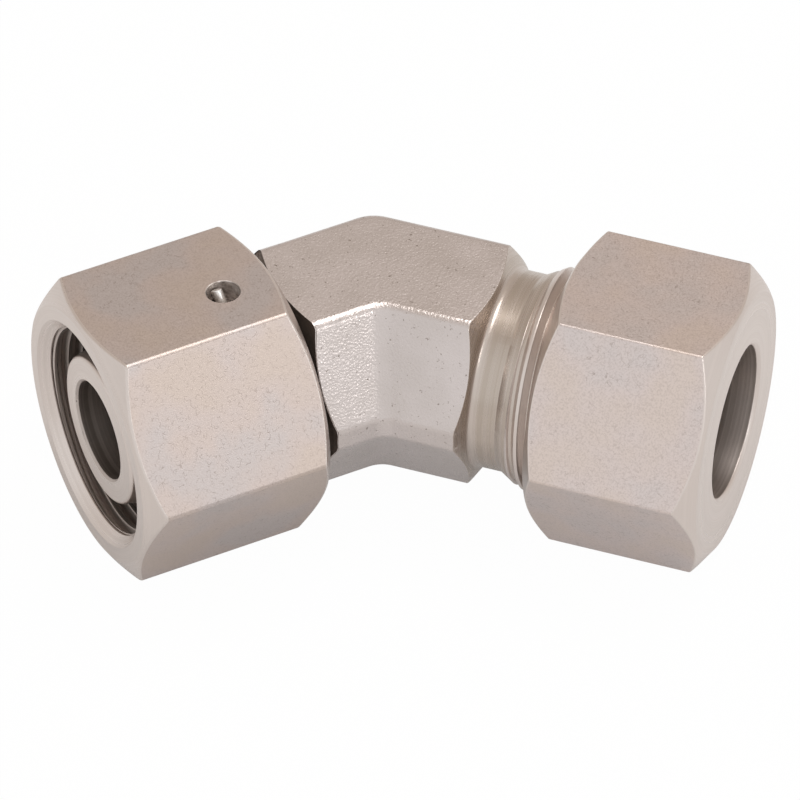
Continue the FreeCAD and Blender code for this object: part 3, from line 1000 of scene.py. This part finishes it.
@dataclass
class ElbowBody:
    """The forging: a hexagon with rounded edges, mitred at the bend, and its turned ends.

    Both legs are shaped along X with the outside of the bend at +Y. The swivel leg is then
    mirrored in the plane of the mitre. It starts as a short straight bar whose rows say where a
    point ends up on its leg: rows 0 to 1 round the mitre, and the last row is the leg's end.

    Args:
        materials: Its materials, by BodyFace.
    """

    materials: list[Material]
    bend: float = 45.0
    flats: float = 28.5
    forging_radius: float = 1.5
    land_width: float = 1.7
    land_edge: float = 0.45
    rim_edge: float = 0.12
    inner_rounding: float = 3.4
    outer_rounding: float = 5.4
    tube_corner_end: float = 15.4
    swivel_corner_end: float = 12.5
    neck: float = 13.2
    neck_end: float = 20.7
    neck_root: float = 1.0
    runout: float = 14.0
    runout_land: float = 1.1
    core: float = 13.78
    spigot_end: float = 37.0
    spigot_face: float = 13.8
    spigot_chamfer: float = 1.2
    thread_top: float = 14.9
    tube_bore: float = 10.05
    tube_bore_end: float = 30.41
    mouth: float = 11.45
    tube_passage: float = 8.0
    nose_passage: float = 6.7
    nose_mouth: float = 0.3
    drill_point: float = 59.0
    relief: float = 13.4
    collar: float = 14.9
    collar_edge: float = 0.2
    collar_start: float = 16.6
    collar_end: float = 26.0
    wire_place: float = 22.3
    channel: float = 0.83
    shank: float = 12.2106
    nose_face: float = 40.0
    nose: float = 10.0
    nose_edge: float = 0.6
    cone_length: float = 10.4
    seal_front: float = 34.38
    seal_back: float = 36.82
    seal_floor: float = 8.915
    columns: int = 36
    arc_rows: int = 8
    last_row: float = 2.0

    def corner(self) -> float:
        """Returns the hexagon's sharp corner radius."""
        return self.flats / 2 / COS_30

    def cone_end(self, corner_end: float, radius: float) -> float:
        """Returns where the turned chamfer of a leg's end has a radius."""
        return corner_end + (self.corner() - radius) * TAN_30

    def bar(self) -> BMesh:
        """Makes the straight bar of the section, with its rows."""
        mesh = bmesh.new()
        bmesh.ops.create_circle(mesh, cap_ends=False, segments=6, radius=self.corner())
        bmesh.ops.rotate(mesh, verts=mesh.verts, cent=(0, 0, 0),
                         matrix=Matrix.Rotation(math.pi / 2, 3, "Y"))
        bmesh.ops.translate(mesh, verts=mesh.verts, vec=(-self.last_row, 0, 0))
        made = bmesh.ops.extrude_edge_only(mesh, edges=mesh.edges[:])["geom"]
        bmesh.ops.translate(mesh, verts=of_kind(BMVert, made), vec=(2 * self.last_row, 0, 0))
        middle = 0.1
        forged = [edge for edge in self.lengthwise(mesh) if abs(edge.verts[0].co.z) > middle]
        soften(mesh, forged, self.forging_radius * TAN_30, segments=8)
        parting = [edge for edge in self.lengthwise(mesh) if abs(edge.verts[0].co.z) < middle]
        soften(mesh, parting, self.land_width, segments=1)
        mesh.normal_update()
        land = [edge for edge in self.lengthwise(mesh) if edge.calc_face_angle(0.0) > 0.4]
        soften(mesh, land, self.land_edge)
        for column in range(self.columns):
            angle = math.pi * column / self.columns
            slice_mesh(mesh, (0, 0, 0), (0, -math.sin(angle), math.cos(angle)))
        rows = [step / self.arc_rows for step in range(self.arc_rows + 1)]
        rows += [1.25, 1.5, 1.75]
        for row in rows:
            slice_mesh(mesh, (row, 0, 0), (1, 0, 0))
            slice_mesh(mesh, (-row, 0, 0), (1, 0, 0))
        return mesh

    def lengthwise(self, mesh: BMesh) -> list[BMEdge]:
        """Returns the edges that run along the whole straight bar."""
        return [edge for edge in mesh.edges if edge.calc_length() > 2 * self.last_row - 0.1]

    def stretch(self, point: Vector, corner_end: float) -> Vector:
        """Moves a point of the bar to its place on a leg.

        Args:
            point: A point of the bar. In the rows up to 1 it is on the mitre's rounding, and
                beyond them it is between that and the turned chamfer.
            corner_end: Where the hexagon's corners end on this leg.

        Returns:
            The point's place along the leg.
        """
        half = math.radians(self.bend / 2)
        share = 0.5 + point.y / self.corner() / 2
        rounding = self.inner_rounding + (self.outer_rounding - self.inner_rounding) * share
        mitre = -math.tan(half) * point.y
        tangent = mitre + rounding * math.tan(half)
        row = abs(point.x)
        if row <= 1:
            angle = (1 - row) * half
            return Vector((tangent - rounding * math.sin(angle),
                           point.y - rounding * (1 - math.cos(angle)), point.z))
        end = self.cone_end(corner_end, math.hypot(point.y, point.z))
        return Vector((tangent + (row - 1) * (end - tangent), point.y, point.z))

    def extend(self, mesh: BMesh, rim: list[BMEdge], outline: Outline) -> list[BMVert]:
        """Carries a leg on from its open rim with turned forms, and closes its end.

        Args:
            mesh: The mesh.
            rim: The edges of the open rim.
            outline: Points of (distance along the leg, radius).

        Returns:
            The new points.
        """
        added = []
        for along, radius in outline:
            made = bmesh.ops.extrude_edge_only(mesh, edges=rim)["geom"]
            ring = of_kind(BMVert, made)
            members = set(ring)
            for point in ring:
                spoke = math.hypot(point.co.y, point.co.z)
                point.co = (along, point.co.y * radius / spoke, point.co.z * radius / spoke)
            for face in of_kind(BMFace, made):
                face.material_index = BodyFace.NECK
            rim = [edge for edge in of_kind(BMEdge, made) if members.issuperset(edge.verts)]
            added += ring
        for face in bmesh.ops.edgeloop_fill(mesh, edges=rim)["faces"]:
            face.material_index = BodyFace.NECK
        return added

    def tube_end(self) -> Outline:
        """Returns the outline from the chamfer to the spigot's face."""
        start = self.cone_end(self.tube_corner_end, self.neck)
        above = (self.cone_end(self.tube_corner_end, self.neck + 2), self.neck + 2)
        thread_start = self.neck_end + (self.runout - self.neck) / TAN_30
        return round_corner(above, (start, self.neck), (self.neck_end, self.neck),
                            self.neck_root, 6) + [
            (self.neck_end - 0.08, self.neck), (self.neck_end + 0.1, self.neck + 0.06),
            (thread_start, self.runout), (thread_start + self.runout_land, self.runout),
            (thread_start + 2 * self.runout_land, self.core), (self.spigot_end, self.core)]

    def nose_end(self) -> Outline:
        """Returns the outline from the chamfer over collar and shank to the nose's face."""
        start = self.cone_end(self.swivel_corner_end, self.relief)
        channel = wire_channel(self.wire_place, self.collar, self.channel, outwards=-1)
        cone_start = self.nose_face - self.cone_length
        slope = (self.shank - self.nose) / self.cone_length

        def cone(along: float) -> float:
            """Returns the cone's radius at a place on the leg."""
            return self.shank - (along - cone_start) * slope

        edge = round_corner((cone_start, self.shank), (self.nose_face, self.nose),
                            (self.nose_face, 0), self.nose_edge)
        return [(start, self.relief), (self.collar_start, self.relief),
                (self.collar_start, self.collar - self.collar_edge),
                (self.collar_start + self.collar_edge, self.collar)] + channel + [
            (self.collar_end - self.collar_edge, self.collar),
            (self.collar_end, self.collar - self.collar_edge),
            (self.collar_end, self.shank), (cone_start, self.shank),
            (self.seal_front, cone(self.seal_front)), (self.seal_front, self.seal_floor),
            (self.seal_back, self.seal_floor), (self.seal_back, cone(self.seal_back))] + edge

    def bores(self) -> list[BMesh]:
        """Returns the drills of both legs, which meet behind the bend."""
        point = math.tan(math.radians(self.drill_point))
        overrun = 5.0
        beyond = 1.0
        stop = TUBE_LEG.tube_stop
        tube = lathe([(-overrun, 0), (self.tube_passage / point - overrun, self.tube_passage),
                      (stop, self.tube_passage), (stop, self.tube_bore),
                      (self.tube_bore_end, self.tube_bore), (self.spigot_end, self.mouth),
                      (self.spigot_end + beyond, self.mouth + 0.2),
                      (self.spigot_end + beyond, 0)], closed=False)
        wide = self.nose_passage + self.nose_mouth
        nose = lathe([(-overrun, 0), (self.nose_passage / point - overrun, self.nose_passage),
                      (self.nose_face - self.nose_mouth, self.nose_passage),
                      (self.nose_face, wide), (self.nose_face + beyond, wide + beyond),
                      (self.nose_face + beyond, 0)], closed=False)
        nose.transform(Matrix.Rotation(math.radians(SWIVEL_LEG.turn), 4, "Z"))
        for slot, cutter in ((BodyFace.TUBE_BORE, tube), (BodyFace.NOSE_BORE, nose)):
            for face in cutter.faces:
                face.material_index = slot
        return [tube, nose]

    def spigot_limit(self, along: float) -> float:
        """Returns the radius at which neck chamfer and end chamfer cut the thread."""
        cone = self.neck + (along - self.neck_end) * TAN_30
        slope = (self.thread_top - self.spigot_face) / self.spigot_chamfer
        end = self.thread_top - (along - self.spigot_end + self.spigot_chamfer) * slope
        foot = self.core - 0.1
        return max(min(cone, end), foot)

    def build(self) -> Object:
        """Makes the body and gives it its place in the frame."""
        mesh = self.bar()
        swivel = {point for point in mesh.verts if point.co.x < 0}
        rim = self.last_row - 0.01
        tube_rim = [edge for edge in mesh.edges if min(v.co.x for v in edge.verts) > rim]
        swivel_rim = [edge for edge in mesh.edges if max(v.co.x for v in edge.verts) < -rim]
        for point in mesh.verts:
            corner_end = self.swivel_corner_end if point in swivel else self.tube_corner_end
            point.co = self.stretch(point.co, corner_end)
        self.extend(mesh, tube_rim, self.tube_end())
        swivel.update(self.extend(mesh, swivel_rim, self.nose_end()))
        half = math.radians(self.bend / 2)
        across = Vector((math.cos(half), math.sin(half), 0))
        for point in swivel:
            point.co -= 2 * point.co.dot(across) * across
        soften(mesh, tube_rim + swivel_rim, self.rim_edge, segments=2)
        bmesh.ops.recalc_face_normals(mesh, faces=mesh.faces)
        mesh = drill(mesh, self.bores())
        # Neck faces on the swivel leg go to the nose, and those short of the collar get the darker
        # colour of painted shade.
        for face in mesh.faces:
            middle = face.calc_center_median()
            if face.material_index == BodyFace.NECK and middle.dot(across) < 0:
                along = middle.dot(Vector((-math.cos(2 * half), -math.sin(2 * half), 0)))
                face.material_index = (BodyFace.NOSE if along > self.collar_start
                                       else BodyFace.RECESS)
        join(mesh, Ridge(start=20.5, end=self.spigot_end - 0.4, phase=SPIGOT_PHASE,
                         foot=self.core - 0.08, crest=self.thread_top, foot_width=1.98,
                         crest_width=0.44, limit=self.spigot_limit,
                         first=self.neck_end + 1.62, last=self.spigot_end - 0.02,
                         slot=BodyFace.THREAD).build())
        piece = finish_piece(mesh, "elbow_forging", TUBE_LEG.matrix(), self.materials)
        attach(piece, Body.ELBOW.value)
        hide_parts("elbow_body")
        return piece


@dataclass
class Studio:
    """Camera, lamps, floor and surroundings.

    Lengths are in millimetres. Angles are in degrees, azimuth from straight in front.

    Args:
        azimuth: The camera's direction from the object.
        elevation: Its height above the level.
        distance: Its distance from the point it looks at.
        lens: Its focal length.
        shift_right: How far that point lies right of the crossing of the axes.
        shift_up: How far it lies above it in the picture.
        crossing: The crossing of the axes in the frame.
        floor_size: Side of the floor.
        floor_paint: The floor's own colour, which takes the shadow.
        floor_glow: Share of plain white in what the camera sees of the floor.
        floor_mirror_glow: Share of plain white in what the metal reflects of it.
        dim_part: Direction of the room's dimmer part, as (0, away from the camera, up).
        dim_colour: Its colour.
        dim_from: Cosine to that direction at which the room starts to dim.
        dim_to: Cosine at which it is dimmest.
    """

    azimuth: float = 18.9
    elevation: float = 43.2
    distance: float = 1107.0
    lens: float = 380.7
    shift_right: float = 3.153
    shift_up: float = -8.06
    crossing: Vector = field(default_factory=lambda: Vector((-26.5, 0, 0)))
    floor_size: float = 6000.0
    floor_paint: str = "#E6E6E6"
    floor_glow: float = 0.98
    floor_mirror_glow: float = 0.24
    dim_part: Vector = field(default_factory=lambda: Vector((0, 0.75, 0.66)))
    dim_colour: str = "#DAD1C9"
    dim_from: float = 0.10
    dim_to: float = 0.72

    def axes(self) -> tuple[Vector, Vector, Vector]:
        """Returns the camera's right, up and back directions."""
        turn = math.radians(self.azimuth)
        rise = math.radians(self.elevation)
        right = Vector((math.cos(turn), math.sin(turn), 0))
        up = Vector((-math.sin(turn) * math.sin(rise), math.cos(turn) * math.sin(rise),
                     math.cos(rise)))
        back = Vector((math.sin(turn) * math.cos(rise), -math.cos(turn) * math.cos(rise),
                       math.sin(rise)))
        return right, up, back

    def add_camera(self) -> None:
        """Puts the camera at the photograph's viewpoint."""
        right, up, back = self.axes()
        data = bpy.data.cameras.new("Camera")
        data.lens = self.lens
        data.sensor_width = 36.0
        data.clip_end = 20.0
        item = bpy.data.objects.new("Camera", data)
        bpy.context.scene.collection.objects.link(item)
        place = self.crossing + right * self.shift_right + up * self.shift_up
        place += back * self.distance
        item.matrix_world = Matrix.Translation(place * MM) @ Matrix(
            (right, up, back)).transposed().to_4x4()
        bpy.context.scene.camera = item

    def add_lamp(self, name: str, azimuth: float, elevation: float, distance: float,
                 size: float, power: float) -> None:
        """Adds a square softbox that faces the object.

        Args:
            name: The lamp's name.
            azimuth: Degrees from straight in front, towards the right.
            elevation: Degrees above the level.
            distance: Millimetres from the object.
            size: Side of the softbox in millimetres.
            power: Watts.
        """
        data = bpy.data.lights.new(name, "AREA")
        data.size = size * MM
        data.energy = power
        item = bpy.data.objects.new(name, data)
        bpy.context.scene.collection.objects.link(item)
        turn = math.radians(azimuth)
        rise = math.radians(elevation)
        away = Vector((math.sin(turn) * math.cos(rise), -math.cos(turn) * math.cos(rise),
                       math.sin(rise)))
        item.location = (self.crossing + away * distance) * MM
        item.rotation_euler = away.to_track_quat("Z", "Y").to_euler()

    def add_world(self) -> None:
        """Gives white surroundings to the camera, and a soft white room to the metal."""
        world = bpy.data.worlds.new("Room")
        bpy.context.scene.world = world
        world.use_nodes = True
        tree = world.node_tree
        tree.nodes.clear()
        path = add_node(tree, "ShaderNodeLightPath")
        place = add_node(tree, "ShaderNodeTexCoord").outputs["Generated"]
        right, _, _ = self.axes()
        behind = Vector((-right.y, right.x, 0.0))
        dim = behind * self.dim_part.y + Vector((0, 0, self.dim_part.z))
        toward = add_node(tree, "ShaderNodeVectorMath", {0: place, 1: tuple(dim.normalized())},
                          operation="DOT_PRODUCT")
        room = add_node(tree, "ShaderNodeValToRGB", {"Fac": toward.outputs["Value"]})
        white, dimmer = room.color_ramp.elements
        white.position = self.dim_from
        white.color = linear("#FFFFFF")
        dimmer.position = self.dim_to
        dimmer.color = linear(self.dim_colour)
        colour = add_mix(tree, path.outputs["Is Camera Ray"], room.outputs[0],
                         linear("#FFFFFF"))
        shader = add_node(tree, "ShaderNodeBackground", {"Color": colour, "Strength": 1.0})
        add_node(tree, "ShaderNodeOutputWorld", {"Surface": shader.outputs[0]})

    def add_floor(self) -> None:
        """Lays a white floor under the object, which keeps the object's shadow."""
        mesh = bmesh.new()
        bmesh.ops.create_grid(mesh, x_segments=1, y_segments=1, size=self.floor_size / 2 * MM)
        low = CAD_BOUNDS[0][2]
        bmesh.ops.translate(mesh, verts=mesh.verts, vec=(0, 0, low))
        data = bpy.data.meshes.new("Floor")
        mesh.to_mesh(data)
        mesh.free()
        item = bpy.data.objects.new("Floor", data)
        bpy.context.scene.collection.objects.link(item)
        material, tree = new_material("WhiteFloor")
        path = add_node(tree, "ShaderNodeLightPath")
        paint = add_node(tree, "ShaderNodeBsdfDiffuse", {"Color": linear(self.floor_paint)})
        glow = add_node(tree, "ShaderNodeEmission", {"Color": linear("#FFFFFF"),
                                                     "Strength": 1.0})
        bounced = add_math(tree, "MAXIMUM", path.outputs["Is Glossy Ray"],
                           path.outputs["Is Transmission Ray"])
        mirrored = add_math(tree, "MULTIPLY", bounced, self.floor_mirror_glow)
        seen = add_math(tree, "MULTIPLY", path.outputs["Is Camera Ray"], self.floor_glow)
        share = add_math(tree, "MAXIMUM", mirrored, seen)
        mixed = add_node(tree, "ShaderNodeMixShader", {
            0: share, 1: paint.outputs[0], 2: glow.outputs[0]})
        add_node(tree, "ShaderNodeOutputMaterial", {"Surface": mixed.outputs[0]})
        data.materials.append(material)

    def build(self) -> None:
        """Sets the whole studio up."""
        self.add_camera()
        self.add_world()
        self.add_floor()
        self.add_lamp("Overhead", azimuth=149, elevation=73, distance=900, size=460, power=2.5)
        self.add_lamp("Key", azimuth=66, elevation=29, distance=900, size=90, power=0.4)
        bpy.context.scene.view_settings.view_transform = "Standard"


def dress(node: str, material: Material) -> None:
    """Gives a CAD node its material."""
    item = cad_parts[node]
    for slot in item.material_slots:
        slot.material = material
    LOG.info("%s: dressed", node)


def main() -> None:
    """Builds every piece in order."""
    logging.basicConfig(level=logging.INFO, format="%(message)s")
    Studio().build()
    # Both nuts are bar steel. The swivel nut gets a darker and rougher copy of it.
    union_steel = NutSteel().build()
    swivel_steel = NutSteel("DarkerDrawnStainless", "#C4B7B1", "#C4B6AD", "#C0B7B4",
                            roughness=0.42).build()
    # Turned faces are bright. The neck gets a darker, browner copy of their finish, which is
    # painted shade.
    tube_turned = TurnedSteel(TUBE_LEG, name="TurnedTubeLeg", colour="#D6CCC6",
                              shade="#D2C8C2").build()
    neck_turned = TurnedSteel(TUBE_LEG, name="NeckWithPaintedShade", colour="#C4B9B1",
                              shade="#B4A89D", roughness=0.28).build()
    swivel_turned = TurnedSteel(SWIVEL_LEG, name="TurnedSwivelLeg", colour="#D4CAC4",
                                shade="#D0C6C0").build()
    # Bored walls are streaked and duller, and their darker streaks are partly painted shade inside
    # the bores. The drilled hole has coarse marks.
    tube_bored = TurnedSteel(TUBE_LEG, name="BoredTubeLeg", colour="#D3C9C3", shade="#A79D96",
                             roughness=0.42, ring_depth=0.005).build()
    swivel_bored = TurnedSteel(SWIVEL_LEG, name="BoredSwivelLeg", colour="#CFC5BF",
                               shade="#958B84", roughness=0.42, ring_width=0.35,
                               ring_depth=0.010).build()
    # The feed hole's walls are painted much lighter than the steel, as painted light reaching into
    # the hole.
    drilled = TurnedSteel(SWIVEL_LEG, name="FeedHoleWithPaintedLight", colour="#F0E8E3",
                          shade="#B0A69F", roughness=0.55, ring_depth=0.03).build()
    # Between body and swivel nut the faces get a darker colour, which is painted shade in the gap.
    recess = TurnedSteel(SWIVEL_LEG, name="PaintedShadeRecess", colour="#857B73", shade="#756B64",
                         roughness=0.5).build()
    ElbowBody([ForgedSteel().build(), neck_turned, swivel_turned, tube_bored,
               swivel_bored, recess, tube_turned]).build()
    SwivelNut("swivel_nut_milled", "swivel_nut", Body.SWIVEL, Leg(turn=225, lean=NUT_TURN),
              15.0, 41.6, [swivel_steel, swivel_turned, swivel_bored, drilled]).build()
    UnionNut("union_nut_milled", "union_nut", Body.UNION, Leg(lean=-NUT_TURN),
             25.9, 49.4, [union_steel, tube_turned, tube_bored], front_angle=34.0).build()
    dress("cutting_ring", tube_turned)
    RetainingWire(SpringWire().build()).build()
    dress("o_ring", SealRubber().build())


if __name__ == "__main__":
    main()
